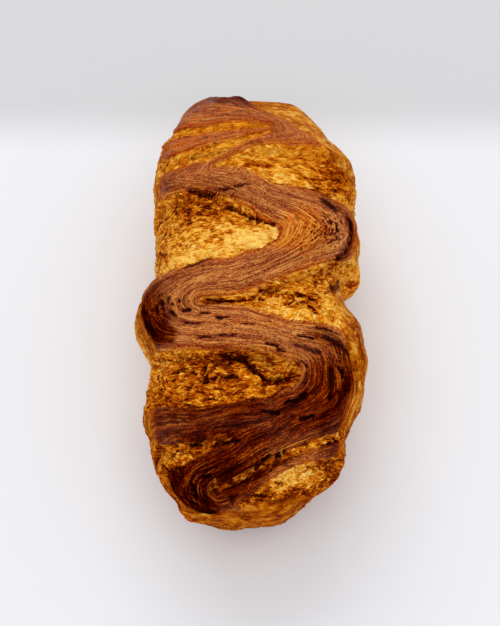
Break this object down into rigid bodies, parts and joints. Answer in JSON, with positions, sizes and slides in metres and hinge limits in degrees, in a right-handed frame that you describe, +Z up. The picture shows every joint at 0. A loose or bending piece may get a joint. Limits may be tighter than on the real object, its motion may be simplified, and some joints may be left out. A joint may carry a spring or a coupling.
{
  "type": "brioche loaf",
  "caption": "Laminated brioche tin loaf with a dark strand winding along its top between pale tongues, on a flat base.",
  "frame": {"origin": "under the middle of the loaf's bounding box, at the height of its flat base", "axes": "+X right across the loaf, +Y along it towards its far end, +Z up from the base"},
  "size_m": [0.1104, 0.229, 0.0951],
  "materials": {
    "crust": "baked crust, satin"
  },
  "bodies": {
    "root": {"loaf": "crust"}
  },
  "joints": []
}
